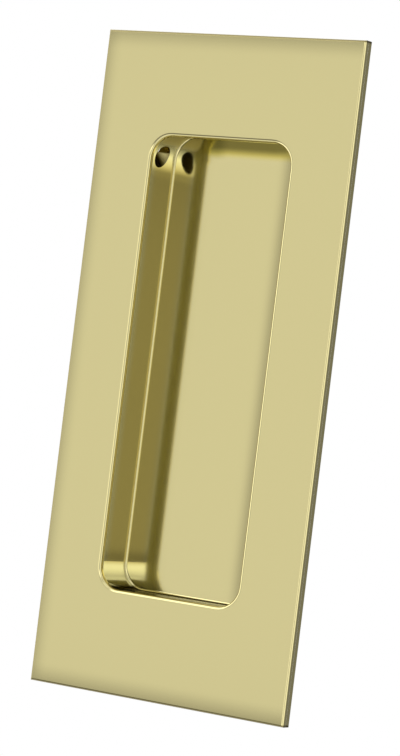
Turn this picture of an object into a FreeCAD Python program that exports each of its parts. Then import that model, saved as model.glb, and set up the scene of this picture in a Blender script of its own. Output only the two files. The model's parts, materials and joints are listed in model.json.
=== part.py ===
import FreeCAD, Part
import math
import os
import Sketcher

# Recessed pull for a pocket door, machined and polished from one piece of brass.
# The frame is the door's: X to the right, Z up, Y into the door.
# The origin is the middle of the plate's back face, which lies on the door.
# Depths are measured from the plate's front face.

# Driving dimensions, in millimetres and degrees
SIZES = [
    ("plate_height", 139.7, "face plate, top to bottom"),
    ("plate_width", 63.5, "face plate, side to side"),
    ("plate_thickness", 2.4, "face plate, front to back"),
    ("edge_round", 0.45, "rounding on the front edges of the plate"),
    ("opening_height", 95.8, "finger opening, top to bottom"),
    ("opening_width", 34.6, "finger opening, side to side"),
    ("opening_radius", 4.8, "corner radius of the finger opening"),
    ("rim_round", 0.8, "rounding on the front edge of the opening"),
    ("lip_thickness", 1.2, "depth of the opening before the grip starts"),
    ("grip_undercut", 1.4, "how far the recess goes back behind the lip, at the sides and the top"),
    ("foot_undercut", 0.2, "how far it goes back at the bottom"),
    ("recess_depth", 11.4, "front face to the floor of the recess"),
    ("recess_radius", 5.5, "corner radius of the recess behind the lip"),
    ("floor_fillet", 0.5, "hollow corner between the walls and the floor"),
    ("wall_thickness", 4.0, "side wall of the housing"),
    ("floor_thickness", 2.0, "floor of the housing"),
    ("housing_radius", 3.0, "upright corner edges of the housing"),
    ("housing_round", 1.2, "rounding on the back edges of the housing"),
    ("bore_diameter", 4.0, "clearance hole of each slanted screw"),
    ("bore_depth", 6.5, "depth at which the hole's axis enters the wall"),
    ("bore_place", 4.0, "where it enters, round the corner from the side wall"),
    ("bore_turn", 38.0, "direction of the hole, from square to the side wall towards the end"),
    ("bore_tilt", 32.0, "slant of the hole towards the door"),
]

# Sizes that follow from them
RECESS_WIDTH = "(Sizes.opening_width + 2 * Sizes.grip_undercut)"
RECESS_HEIGHT = "(Sizes.opening_height + Sizes.grip_undercut + Sizes.foot_undercut)"
RECESS_RISE = "((Sizes.grip_undercut - Sizes.foot_undercut) / 2)"
RECESS_TOP = "(Sizes.opening_height / 2 + Sizes.grip_undercut)"
HOUSING_WIDTH = "(%s + 2 * Sizes.wall_thickness)" % RECESS_WIDTH
HOUSING_HEIGHT = "(%s + 2 * Sizes.wall_thickness)" % RECESS_HEIGHT
HOUSING_DEPTH = "(Sizes.recess_depth + Sizes.floor_thickness)"

# The cut of a hole starts in the open recess, this far before the wall
BORE_LEAD = "(0.6 * Sizes.bore_diameter)"
BORE_SLANT = "(cos(Sizes.bore_tilt * 1deg) * cos(Sizes.bore_turn * 1deg))"
BORE_REACH = "(%s + Sizes.wall_thickness / %s + Sizes.bore_diameter)" % (BORE_LEAD, BORE_SLANT)

NEAR = 1e-4

doc = FreeCAD.newDocument("pocket_door_pull")


def make_sheet():
    sheet = doc.addObject("Spreadsheet::Sheet", "Sizes")
    for row, (alias, value, note) in enumerate(SIZES, start=1):
        sheet.set("A%d" % row, alias)
        sheet.set("B%d" % row, str(value))
        sheet.set("C%d" % row, note)
        sheet.setAlias("B%d" % row, alias)
    doc.recompute()
    return sheet


def origin_feature(body, role):
    return [feature for feature in body.Origin.OriginFeatures if feature.Role == role][0]


def face_sketch(body, name, depth, rise=None):
    """A sketch parallel to the face plate, at a depth from its front face."""
    sketch = body.newObject("Sketcher::SketchObject", name)
    sketch.AttachmentSupport = [(origin_feature(body, "XZ_Plane"), "")]
    sketch.MapMode = "FlatFace"
    sketch.setExpression("AttachmentOffset.Base.z", "Sizes.plate_thickness - %s" % depth)
    if rise:
        sketch.setExpression("AttachmentOffset.Base.y", rise)
    return sketch


def drive(sketch, constraint, expression):
    index = sketch.addConstraint(constraint)
    sketch.setExpression("Constraints[%d]" % index, expression)


def draw_rectangle(sketch, width, height):
    """A rectangle about the origin, drawn roughly and then driven to its size."""
    corners = [FreeCAD.Vector(x, y, 0) for x, y in ((-20, -40), (20, -40), (20, 40), (-20, 40))]
    for side in range(4):
        sketch.addGeometry(Part.LineSegment(corners[side], corners[(side + 1) % 4]), False)
    for side in range(4):
        sketch.addConstraint(Sketcher.Constraint("Coincident", side, 2, (side + 1) % 4, 1))
    for side in (0, 2):
        sketch.addConstraint(Sketcher.Constraint("Horizontal", side))
    for side in (1, 3):
        sketch.addConstraint(Sketcher.Constraint("Vertical", side))
    sketch.addConstraint(Sketcher.Constraint("Symmetric", 0, 1, 1, 2, -1, 1))
    drive(sketch, Sketcher.Constraint("DistanceX", 0, 1, 0, 2, 40), width)
    drive(sketch, Sketcher.Constraint("DistanceY", 1, 1, 1, 2, 80), height)


def draw_rounded_rectangle(sketch, width, height, radius):
    """Four lines and four tangent arcs about the origin, driven to their size."""
    lines = [((-15, -40), (15, -40)), ((20, -35), (20, 35)), ((15, 40), (-15, 40)), ((-20, 35), (-20, -35))]
    centres = [(15, -35), (15, 35), (-15, 35), (-15, -35)]
    quarter = math.pi / 2
    for side in range(4):
        start, end = [FreeCAD.Vector(x, y, 0) for x, y in lines[side]]
        sketch.addGeometry(Part.LineSegment(start, end), False)
        circle = Part.Circle(FreeCAD.Vector(*centres[side], 0), FreeCAD.Vector(0, 0, 1), 5)
        first = (side - 1) * quarter
        sketch.addGeometry(Part.ArcOfCircle(circle, first, first + quarter), False)
    for item in range(8):
        sketch.addConstraint(Sketcher.Constraint("Tangent", item, 2, (item + 1) % 8, 1))
    for line in (0, 4):
        sketch.addConstraint(Sketcher.Constraint("Horizontal", line))
    for line in (2, 6):
        sketch.addConstraint(Sketcher.Constraint("Vertical", line))
    for arc in (3, 5, 7):
        sketch.addConstraint(Sketcher.Constraint("Equal", 1, arc))
    sketch.addConstraint(Sketcher.Constraint("Symmetric", 1, 3, 5, 3, -1, 1))
    drive(sketch, Sketcher.Constraint("Radius", 1, 5), radius)
    drive(sketch, Sketcher.Constraint("DistanceX", 6, 1, 2, 1, 40), width)
    drive(sketch, Sketcher.Constraint("DistanceY", 0, 2, 4, 1, 80), height)


def add_pad(body, sketch, length):
    """Material from the sketch towards the door."""
    pad = body.newObject("PartDesign::Pad", sketch.Name + "_pad")
    pad.Profile = sketch
    pad.Reversed = True
    pad.setExpression("Length", length)
    doc.recompute()


def add_pocket(body, sketch, length, along_normal=False):
    """A cut from the sketch, towards the door unless it goes along the sketch's normal."""
    before = body.Shape.Volume
    pocket = body.newObject("PartDesign::Pocket", sketch.Name + "_pocket")
    pocket.Profile = sketch
    pocket.Reversed = along_normal
    pocket.setExpression("Length", length)
    doc.recompute()
    if body.Shape.Volume > before - NEAR:
        raise RuntimeError(sketch.Name + " cuts nothing")
    return pocket


def flat_edges(shape, y, width, height, inside):
    """The edges in the plane at y that lie within the given outline, or outside it."""
    names = []
    for number, edge in enumerate(shape.Edges, start=1):
        box = edge.BoundBox
        if max(abs(box.YMin - y), abs(box.YMax - y)) > NEAR:
            continue
        middle = box.Center
        within = abs(middle.x) < width / 2 + NEAR and abs(middle.z) < height / 2 + NEAR
        if within == inside:
            names.append("Edge%d" % number)
    return names


def round_edges(body, edge_names, radius):
    """A fillet on edges of the body as it is now."""
    base = body.Tip
    fillet = body.newObject("PartDesign::Fillet", "Fillet")
    fillet.Base = (base, edge_names)
    fillet.setExpression("Radius", radius)
    doc.recompute()


def number(expression):
    """The value of an expression of the sheet, as a plain number."""
    return float(FreeCAD.Units.Quantity(sheet.evalExpression(expression)).Value)


def make_pull():
    body = doc.addObject("PartDesign::Body", "Pull")
    body.Label = "door_pull"

    plate = face_sketch(body, "Plate", "0")
    draw_rectangle(plate, "Sizes.plate_width", "Sizes.plate_height")
    add_pad(body, plate, "Sizes.plate_thickness")

    housing = face_sketch(body, "Housing", "Sizes.plate_thickness", RECESS_RISE)
    draw_rounded_rectangle(housing, HOUSING_WIDTH, HOUSING_HEIGHT, "Sizes.housing_radius")
    add_pad(body, housing, HOUSING_DEPTH + " - Sizes.plate_thickness")

    opening = face_sketch(body, "Opening", "0")
    draw_rounded_rectangle(opening, "Sizes.opening_width", "Sizes.opening_height", "Sizes.opening_radius")
    add_pocket(body, opening, "Sizes.lip_thickness")

    recess = face_sketch(body, "Recess", "Sizes.lip_thickness", RECESS_RISE)
    draw_rounded_rectangle(recess, RECESS_WIDTH, RECESS_HEIGHT, "Sizes.recess_radius")
    add_pocket(body, recess, "Sizes.recess_depth - Sizes.lip_thickness")

    add_screw_holes(body)

    front = -number("Sizes.plate_thickness")
    floor = front + number("Sizes.recess_depth")
    back = front + number(HOUSING_DEPTH)
    opening_size = (number("Sizes.opening_width"), number("Sizes.opening_height"))
    plate_size = (number("Sizes.plate_width"), number("Sizes.plate_height"))
    round_edges(body, flat_edges(body.Shape, floor, *plate_size, True), "Sizes.floor_fillet")
    round_edges(body, flat_edges(body.Shape, front, *opening_size, True), "Sizes.rim_round")
    round_edges(body, flat_edges(body.Shape, front, *opening_size, False), "Sizes.edge_round")
    round_edges(body, flat_edges(body.Shape, back, *plate_size, True), "Sizes.housing_round")
    return body


def add_screw_holes(body):
    """A slanted hole through the housing at the top left corner, and its twin at the bottom right."""
    place = "(Sizes.bore_place * 1deg)"
    turn = "(Sizes.bore_turn * 1deg)"
    tilt = "(Sizes.bore_tilt * 1deg)"
    wall_x = "-(%s / 2 - Sizes.recess_radius * (1 - cos%s))" % (RECESS_WIDTH, place)
    wall_z = "(%s - Sizes.recess_radius * (1 - sin%s))" % (RECESS_TOP, place)
    start = "vector(%s; %s; %s)" % (
        "%s + %s * cos%s * cos%s" % (wall_x, BORE_LEAD, turn, tilt),
        "%s - %s * sin%s * cos%s" % (wall_z, BORE_LEAD, turn, tilt),
        "Sizes.plate_thickness - Sizes.bore_depth + %s * sin%s" % (BORE_LEAD, tilt),
    )
    turned = "rotation(vector(0; 0; 1); 180deg - %s) * rotation(vector(0; 1; 0); 90deg + %s)" % (turn, tilt)
    plane = body.newObject("PartDesign::Plane", "BorePlane")
    plane.AttachmentSupport = [(origin_feature(body, "XZ_Plane"), "")]
    plane.MapMode = "FlatFace"
    plane.setExpression("AttachmentOffset", "placement(%s; %s)" % (start, turned))

    sketch = body.newObject("Sketcher::SketchObject", "Bore")
    sketch.AttachmentSupport = [(plane, "")]
    sketch.MapMode = "FlatFace"
    sketch.addGeometry(Part.Circle(FreeCAD.Vector(0, 0, 0), FreeCAD.Vector(0, 0, 1), 2), False)
    sketch.addConstraint(Sketcher.Constraint("Coincident", 0, 3, -1, 1))
    drive(sketch, Sketcher.Constraint("Diameter", 0, 4), "Sizes.bore_diameter")
    pocket = add_pocket(body, sketch, BORE_REACH, along_normal=True)

    before = body.Shape.Volume
    pattern = body.newObject("PartDesign::PolarPattern", "Bores")
    pattern.Originals = [pocket]
    pattern.Axis = (origin_feature(body, "Y_Axis"), [""])
    pattern.Angle = 360
    pattern.Occurrences = 2
    body.Tip = pattern
    doc.recompute()
    if body.Shape.Volume > before - NEAR:
        raise RuntimeError("the second screw hole cuts nothing")


sheet = make_sheet()
pull = make_pull()
doc.recompute()

for item in doc.Objects:
    if "Invalid" in item.State or "Error" in item.State:
        raise RuntimeError("%s failed: %s" % (item.Name, item.State))

os.makedirs("parts", exist_ok=True)
for piece in (pull,):
    shape = piece.Shape
    if shape.isNull() or not shape.isValid() or len(shape.Solids) != 1:
        raise RuntimeError(piece.Label + " has no valid solid")
    shape.exportStep("parts/%s.step" % piece.Label)
    box = shape.BoundBox
    print("%s volume %.1f mm3, box %.2f x %.2f x %.2f mm" % (
        piece.Label, shape.Volume, box.XLength, box.YLength, box.ZLength))
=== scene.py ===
import json
import math

import bpy
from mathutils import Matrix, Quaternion, Vector


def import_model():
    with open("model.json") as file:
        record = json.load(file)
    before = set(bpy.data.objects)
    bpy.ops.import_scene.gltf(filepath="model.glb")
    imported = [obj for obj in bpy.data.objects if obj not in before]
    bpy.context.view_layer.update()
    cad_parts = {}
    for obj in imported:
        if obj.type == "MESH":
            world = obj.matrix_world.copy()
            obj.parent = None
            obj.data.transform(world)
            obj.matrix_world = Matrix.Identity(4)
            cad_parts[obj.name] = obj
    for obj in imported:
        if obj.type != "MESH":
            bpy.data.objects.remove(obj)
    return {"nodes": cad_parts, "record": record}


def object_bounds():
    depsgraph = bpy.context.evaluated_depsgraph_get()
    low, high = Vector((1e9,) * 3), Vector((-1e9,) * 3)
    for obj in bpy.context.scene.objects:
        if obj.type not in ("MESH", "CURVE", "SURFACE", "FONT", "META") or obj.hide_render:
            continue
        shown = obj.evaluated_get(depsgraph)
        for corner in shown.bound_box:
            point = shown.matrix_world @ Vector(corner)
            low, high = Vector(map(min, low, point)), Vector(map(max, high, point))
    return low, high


# Polished brass pull for a pocket door, floating in a light tent on white.
# Metres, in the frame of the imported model: the front faces -Y and Z is up.

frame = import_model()
cad_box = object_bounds()
pull = frame["nodes"]["door_pull"]
mounts = {mount["name"]: mount for mount in frame["record"]["mounts"]}
scene = bpy.context.scene

# Sizes of the part that neither its box nor its mounts give

LIP_THICKNESS = 0.0012
RECESS_DEPTH = 0.0114
RECESS_SIDE = 0.0187
RECESS_TOP = 0.0493
RECESS_BOTTOM = -0.0481
RECESS_CORNER = 0.0055

plate_side = cad_box[1][0]
plate_top = cad_box[1][2]
front = cad_box[0][1]
lip_back = front + LIP_THICKNESS
recess_floor = front + RECESS_DEPTH

# Nodes and masks


def linear(code):
    """A colour written as sRGB hex, in the linear values that shaders take."""
    channels = [int(code[start:start + 2], 16) / 255 for start in (1, 3, 5)]
    return tuple(c / 12.92 if c <= 0.04045 else ((c + 0.055) / 1.055) ** 2.4 for c in channels) + (1.0,)


def add(tree, kind, *inputs, result=0, **settings):
    """One node, with its inputs in order or in a dictionary. Gives one of its outputs."""
    node = tree.nodes.new("ShaderNode" + kind)
    for name, value in settings.items():
        setattr(node, name, value)
    by_name = inputs and isinstance(inputs[0], dict)
    for socket, value in (inputs[0] if by_name else dict(enumerate(inputs))).items():
        if isinstance(value, bpy.types.NodeSocket):
            tree.links.new(value, node.inputs[socket])
        else:
            node.inputs[socket].default_value = value
    return node.outputs[result] if node.outputs else None


def both(tree, *masks):
    """How far all of the masks hold together."""
    held = masks[0]
    for mask in masks[1:]:
        held = add(tree, "Math", held, mask, operation="MULTIPLY")
    return held


def either(tree, *masks):
    """How far any of the masks holds."""
    held = masks[0]
    for mask in masks[1:]:
        held = add(tree, "Math", held, mask, operation="MAXIMUM")
    return held


def fade(tree, value, *stops):
    """Softly from 0 at the first stop to 1 at the second, and from 1 at the third to 0 at the fourth."""
    rise = add(tree, "MapRange", value, *stops[:2], 0.0, 1.0, interpolation_type="SMOOTHSTEP")
    if len(stops) == 2:
        return rise
    fall = add(tree, "MapRange", value, *stops[2:], 1.0, 0.0, interpolation_type="SMOOTHSTEP")
    return both(tree, rise, fall)


def between(tree, value, low, high, slack=0.0001):
    """1 where the value lies between the two, give or take the slack, and 0 elsewhere."""
    return add(tree, "Math", value, (low + high) / 2, (high - low) / 2 + slack, operation="COMPARE")


def new_material(name):
    material = bpy.data.materials.new(name)
    material.use_nodes = True
    material.node_tree.nodes.clear()
    return material, material.node_tree


# Brass

BRASS = "#D2C892"
# painted reflection: paler colour on the recess walls and behind the lip
PALE_PAINTED_REFLECTION = "#D8D8C4"
# painted shade on the floor under the lip
SHADE_UNDER_LIP_COLOUR = "#D2C266"
# darker painted shade in the floor's left corner under the lip
DEEPER_SHADE_IN_CORNER_COLOUR = "#ACA04E"
# painted shade: dark colour on the outer arris, in the screw holes and on the bottom wall
DARK_PAINTED_SHADE = "#3E3200"
# painted shade: dark glancing tint for the shaded bottom wall and screw holes
SHADE_GLANCING_TINT = "#4C4010"

POLISHED = 0.11
# How much rougher than that the other finishes are
SATIN = 0.38
MILLED = 0.24
DRILLED = 0.25

# How a face turns on its way to an edge: over the last how many metres, and how steeply at the edge.
# It falls away where the slope is positive and swells where it is negative.
FACE_TO_EDGE = (0.0042, 0.07)
FLOOR_TO_RIGHT = (0.0127, -0.32)
FLOOR_TO_TOP = (0.0050, -0.40)
FLOOR_TO_BOTTOM = (0.0045, -0.07)
WALL_TO_BOTTOM = (0.0120, -0.33)
CORNER_TO_BOTTOM = (RECESS_CORNER, 0.25)
# The walls swell by this much on the way up to the top, from so far below it
TOP_SWELL = 0.0022
TOP_SWELL_LENGTH = RECESS_CORNER + 0.0042

# Distance between the mill's cuts on the back, and their depth
CUT_STEP = 0.000635
CUT_DEPTH = 0.00003

# The painted glint in a screw hole: how far it is turned off the hole's deep side, and the slant of its edge
GLINT_TURN = math.radians(-5.0)
GLINT_RISE = 0.29
GLINT_SLANT = -1.64


def turning(tree, distance, length, slope):
    """Height of a face that turns on its way to an edge."""
    reach = add(tree, "MapRange", distance, length, 0.0, 0.0, 1.0)
    return both(tree, reach, reach, -0.5 * slope * length)


def screw_holes(tree, place, z):
    """Two masks: the walls of both screw holes, and a painted glint on one side of each."""
    hole = mounts["screw_hole_top"]
    mouth = Vector(hole["pos_m"])
    axis = Vector(hole["axis"])
    radius = hole["dims"]["r_mm"] / 1000
    deep_side = (Vector((0, 1, 0)) - axis * axis.y).normalized()
    middle = Quaternion(axis, GLINT_TURN) @ deep_side
    slanted = axis + GLINT_RISE * middle + GLINT_SLANT * axis.cross(middle)

    # the second hole is the first turned half round Y
    end = add(tree, "Math", z, operation="SIGN")
    turn = add(tree, "CombineXYZ", end, 1.0, end)
    turned = add(tree, "VectorMath", place, turn, operation="MULTIPLY")
    out = add(tree, "VectorMath", turned, mouth, operation="SUBTRACT")
    off_axis = add(tree, "VectorMath", out, axis, operation="CROSS_PRODUCT")
    distance = add(tree, "VectorMath", off_axis, operation="LENGTH", result="Value")
    wall = between(tree, distance, radius, radius, slack=0.00005)
    towards = add(tree, "VectorMath", out, middle, operation="DOT_PRODUCT", result="Value")
    past = add(tree, "VectorMath", out, slanted, operation="DOT_PRODUCT", result="Value")
    painted_glint = both(tree, fade(tree, towards, 0.45 * radius, radius), fade(tree, past, -0.0005, 0.0002))
    return wall, painted_glint


def polished_brass():
    """Yellow brass, buffed on a wheel and lacquered: a soft mirror in pale greenish yellow, with painted
    shade, a painted pale reflection and painted glints laid on its colour.
    """
    material, tree = new_material("brass_polished_lacquered")
    place = add(tree, "TexCoord", result="Object")
    x, y, z = add(tree, "SeparateXYZ", place).node.outputs
    to_side = add(tree, "Math", plate_side, add(tree, "Math", x, operation="ABSOLUTE"), operation="SUBTRACT")
    to_end = add(tree, "Math", plate_top, add(tree, "Math", z, operation="ABSOLUTE"), operation="SUBTRACT")
    from_left = add(tree, "Math", x, plate_side, operation="ADD")
    to_right_wall = add(tree, "Math", RECESS_SIDE, x, operation="SUBTRACT")
    to_top_wall = add(tree, "Math", RECESS_TOP, z, operation="SUBTRACT")
    from_bottom_wall = add(tree, "Math", z, RECESS_BOTTOM, operation="SUBTRACT")

    # where each surface is
    room = both(tree, between(tree, x, -RECESS_SIDE, RECESS_SIDE),
                between(tree, z, RECESS_BOTTOM, RECESS_TOP))
    walls = both(tree, room, between(tree, y, lip_back + 0.0003, recess_floor - 0.0003))
    floor = between(tree, y, recess_floor, recess_floor, slack=0.00004)
    right_of_hole = both(tree, floor, fade(tree, x, -0.0142, -0.0095))
    behind_lip = between(tree, y, lip_back, lip_back, slack=0.00004)
    under_top = both(tree, walls, fade(tree, to_top_wall, 0.0036, 0.0016))
    drilled, painted_glint = screw_holes(tree, place, z)
    in_recess = both(tree, room, between(tree, y, lip_back, recess_floor))
    out_of_recess = add(tree, "Math", 1.0, in_recess, operation="SUBTRACT")
    milled = both(tree, add(tree, "Math", y, -0.00002, operation="GREATER_THAN"), out_of_recess)

    # the wheel rounds the face over, dishes the floor and softens the walls' corners, which bends what
    # they mirror; the mill's cuts show as fine stripes on the back
    face_height = add(tree, "Math", turning(tree, to_side, *FACE_TO_EDGE),
                      turning(tree, to_end, *FACE_TO_EDGE))
    floor_height = add(tree, "Math", turning(tree, to_right_wall, *FLOOR_TO_RIGHT),
                       turning(tree, from_bottom_wall, *FLOOR_TO_BOTTOM))
    lower_height = add(tree, "Math", turning(tree, from_bottom_wall, *WALL_TO_BOTTOM),
                       turning(tree, from_bottom_wall, *CORNER_TO_BOTTOM))
    upper_height = both(tree, TOP_SWELL, fade(tree, to_top_wall, TOP_SWELL_LENGTH, 0.0))
    cuts = add(tree, "TexWave", {
        "Vector": place, "Scale": 2 * math.pi / (10 * math.sqrt(2) * CUT_STEP),
        "Distortion": 1.5, "Detail": 2.0, "Detail Scale": 0.6}, bands_direction="DIAGONAL", result="Fac")
    normal = add(tree, "Bump", {"Height": face_height, "Distance": 1.0, "Strength": 1.0})
    for height, depth, where in (
            (floor_height, 1.0, floor),
            (turning(tree, to_top_wall, *FLOOR_TO_TOP), 1.0, right_of_hole),
            (add(tree, "Math", upper_height, lower_height), 1.0, walls),
            (cuts, CUT_DEPTH, milled)):
        normal = add(tree, "Bump", {"Height": height, "Distance": depth, "Strength": where, "Normal": normal})

    # the wheel can't get behind the lip nor up under the top, and leaves them satin
    roughness = POLISHED
    for where, more in ((either(tree, behind_lip, under_top), SATIN), (milled, MILLED), (drilled, DRILLED)):
        roughness = add(tree, "Math", where, more, roughness, operation="MULTIPLY_ADD")

    # painted reflection: the walls near the lip and in their corners, and the back of the lip, are painted a
    # paler colour in place of the light they mirror
    upper_corner = fade(tree, to_top_wall, RECESS_CORNER + 0.0030, RECESS_CORNER - 0.0010)
    lower_corner = fade(tree, from_bottom_wall, RECESS_CORNER + 0.0006, RECESS_CORNER - 0.0010)
    lower_down = add(tree, "Math", 1.0, under_top, operation="SUBTRACT")
    corners = both(tree, either(tree, upper_corner, lower_corner), lower_down)
    near_lip = fade(tree, y, lip_back + 0.0045, lip_back + 0.0010)
    pale_reflection_area = either(tree, both(tree, walls, either(tree, corners, near_lip)), behind_lip)
    # painted shade: the floor is painted a deeper yellow up under the lip, and a darker one still in its left
    # corner
    shade_under_lip = both(tree, right_of_hole, fade(tree, to_top_wall, 0.0045, 0.0028))
    deeper_shade_in_corner = both(tree, fade(tree, x, -0.0112, -0.0100, -0.0085, -0.0050),
                          fade(tree, to_top_wall, 0.0050, 0.0026), floor)
    # painted shade: a fine dark line along the outer arris, on the left, at the top and at the bottom, but not
    # on the lit right edge
    to_arris = add(tree, "Math", to_end, from_left, operation="MINIMUM")
    arris = both(tree, 0.72, fade(tree, to_arris, 0.00048, 0.00040))
    # painted shade: a dark line painted on the bottom wall and on the edge of the lip there
    low = fade(tree, from_bottom_wall, 0.0010, 0.0004)
    behind_rim = fade(tree, y, lip_back - 0.0008, lip_back - 0.0004)
    above_floor = add(tree, "Math", y, recess_floor - 0.0002, operation="LESS_THAN")
    bottom_wall_shade = both(tree, 0.8, low, behind_rim, room, above_floor)
    # painted shade in the screw holes, which are dark but for a painted glint on one side
    bore_shade = both(tree, drilled, add(tree, "Math", painted_glint, -0.65, 0.97, operation="MULTIPLY_ADD"))
    colour = linear(BRASS)
    for where, tint in (
            (pale_reflection_area, PALE_PAINTED_REFLECTION), (shade_under_lip, SHADE_UNDER_LIP_COLOUR),
            (either(tree, arris, bore_shade, bottom_wall_shade), DARK_PAINTED_SHADE), (deeper_shade_in_corner, DEEPER_SHADE_IN_CORNER_COLOUR)):
        colour = add(tree, "Mix", {0: where, 6: colour, 7: linear(tint)}, data_type="RGBA", result=2)
    # the painted shade on the bottom wall and in the screw holes keeps them from shining at a glancing angle
    # too
    edge = add(tree, "Mix", {0: either(tree, drilled, bottom_wall_shade), 6: linear("#FFFFFF"), 7: linear(SHADE_GLANCING_TINT)},
               data_type="RGBA", result=2)

    shader = add(tree, "BsdfPrincipled", {
        "Metallic": 1.0, "Base Color": colour, "Specular Tint": edge,
        "Roughness": roughness, "Normal": normal})
    add(tree, "OutputMaterial", {"Surface": shader})
    return material


pull.data.materials.clear()
pull.data.materials.append(polished_brass())

# Studio

# The light tent's panels: brightness, then where the panel begins, is full, begins to thin out and ends,
# round the pull from the front towards the right, and upwards, in degrees. A later one lies over the earlier.
ALL_HEIGHTS = ()
ALL_ROUND = ()
PANELS = (
    # behind, from either side
    (0.8, (158, 172), ALL_HEIGHTS),
    (0.8, (-158, -172), ALL_HEIGHTS),
    # to the right
    (0.95, (36.5, 40, 112, 132), ALL_HEIGHTS),
    (1.5, (66, 78, 112, 132), ALL_HEIGHTS),
    # to the left
    (1.9, (-145, -125, -58, -51), ALL_HEIGHTS),
    # the key panel, in front and to the left
    (1.0, (-48, -36.5, 4, 12), (-15, -5, 6.5, 17)),
    # a strip beside it, and a dark gap next to the strip
    (1.6, (2, 10, 28, 31), (-12, -8, 8, 12)),
    (0.26, (24, 28, 36, 40), (3.5, 6, 7, 10)),
    # a strip above the gap and one below
    (2.0, (6, 14, 36, 40), (8, 16, 20, 44)),
    (2.2, (6, 14, 36, 40), (-36, -18, -18, -4)),
    # overhead
    (1.3, (-26, -16, 8, 14), (20, 28, 46, 52)),
    (2.1, (-20, -34), (16, 21)),
    (1.2, ALL_ROUND, (48, 60)),
    # a dark skirt below the key panel, and the white floor further down
    (0.28, (-60, -50, 0, 10), (-12, -19)),
    (1.1, ALL_ROUND, (-36, -46)),
)
# Brightness between the panels, in front and behind
TENT_FRONT = 0.52
TENT_BACK = 0.27
TENT_RADIUS = 10.0


def light_tent():
    """The soft panels round the pull, which only its reflections see."""
    material, tree = new_material("light_tent")
    way = add(tree, "VectorMath", add(tree, "TexCoord", result="Object"), operation="NORMALIZE")
    x, y, z = add(tree, "SeparateXYZ", way).node.outputs
    ahead = add(tree, "Math", y, -1.0, operation="MULTIPLY")
    round_it = add(tree, "Math", add(tree, "Math", x, ahead, operation="ARCTAN2"), operation="DEGREES")
    upwards = add(tree, "Math", add(tree, "Math", z, operation="ARCSINE"), operation="DEGREES")

    backwards = fade(tree, round_it, 60, 130)
    level = add(tree, "Mix", {0: backwards, 2: TENT_FRONT, 3: TENT_BACK}, data_type="FLOAT")
    for brightness, across, up in PANELS:
        fades = [fade(tree, way, *stops) for way, stops in ((round_it, across), (upwards, up)) if stops]
        level = add(tree, "Mix", {0: both(tree, *fades), 2: level, 3: brightness}, data_type="FLOAT")
    glow = add(tree, "Emission", {"Color": (1, 1, 1, 1), "Strength": level})
    add(tree, "OutputMaterial", {"Surface": glow})

    bpy.ops.object.select_all(action="DESELECT")
    bpy.ops.mesh.primitive_uv_sphere_add(segments=64, ring_count=32, radius=TENT_RADIUS)
    tent = bpy.context.object
    tent.name = "light_tent"
    tent.data.materials.append(material)
    for kind in ("camera", "diffuse", "transmission", "volume_scatter", "shadow"):
        setattr(tent, "visible_" + kind, False)


def paper_floor(radius, height):
    """Pale paper under the pull, matt, which takes its shadow and which the brass doesn't mirror."""
    material, tree = new_material("paper_floor")
    shader = add(tree, "BsdfPrincipled", {"Base Color": linear("#F4F4F2"), "Roughness": 0.9})
    add(tree, "OutputMaterial", {"Surface": shader})
    bpy.ops.object.select_all(action="DESELECT")
    bpy.ops.mesh.primitive_circle_add(vertices=96, radius=radius, fill_type="NGON", location=(0, 0, height))
    paper = bpy.context.object
    paper.name = "paper_floor"
    paper.data.materials.append(material)
    paper.visible_glossy = False


def world(lit, shown):
    """White wherever the camera and reflections see it, and dimmer as a light."""
    space = bpy.data.worlds.new("white_studio")
    scene.world = space
    space.use_nodes = True
    tree = space.node_tree
    tree.nodes.clear()
    rays = add(tree, "LightPath").node.outputs
    seen = either(tree, rays["Is Camera Ray"], rays["Is Glossy Ray"], rays["Is Transmission Ray"])
    level = add(tree, "Mix", {0: seen, 2: lit, 3: shown}, data_type="FLOAT")
    white = add(tree, "Background", {"Color": (1, 1, 1, 1), "Strength": level})
    add(tree, "OutputWorld", {"Surface": white})


def softbox(name, place, size, watts):
    """A soft lamp that looks at the pull and isn't mirrored in it."""
    data = bpy.data.lights.new(name, "AREA")
    data.shape = "RECTANGLE"
    data.size, data.size_y = size
    data.energy = watts
    lamp = bpy.data.objects.new(name, data)
    scene.collection.objects.link(lamp)
    lamp.location = place
    lamp.rotation_mode = "QUATERNION"
    lamp.rotation_quaternion = (-Vector(place)).to_track_quat("-Z", "Y")
    lamp.visible_glossy = False


light_tent()
paper_floor(radius=0.42, height=-0.16)
world(lit=0.6, shown=1.0)
softbox("top_softbox", (-0.25, -0.35, 0.9), (0.6, 0.6), 6.0)

# Camera


def camera(place, target, roll, lens):
    """The photograph's camera, fitted to the edges of the plate and of the recess."""
    data = bpy.data.cameras.new("camera")
    data.lens = lens
    data.sensor_width = 36.0
    data.clip_start = 0.02
    data.clip_end = 3 * TENT_RADIUS
    view = bpy.data.objects.new("camera", data)
    scene.collection.objects.link(view)
    view.location = place
    level = (Vector(target) - Vector(place)).to_track_quat("-Z", "Y")
    view.rotation_mode = "QUATERNION"
    view.rotation_quaternion = level @ Quaternion((0, 0, 1), math.radians(roll))
    scene.camera = view


camera(place=(0.343734, -0.526431, -0.005758), target=(0.001894, -0.0024, -0.001807), roll=6.967, lens=143.92)
scene.view_settings.view_transform = "Standard"
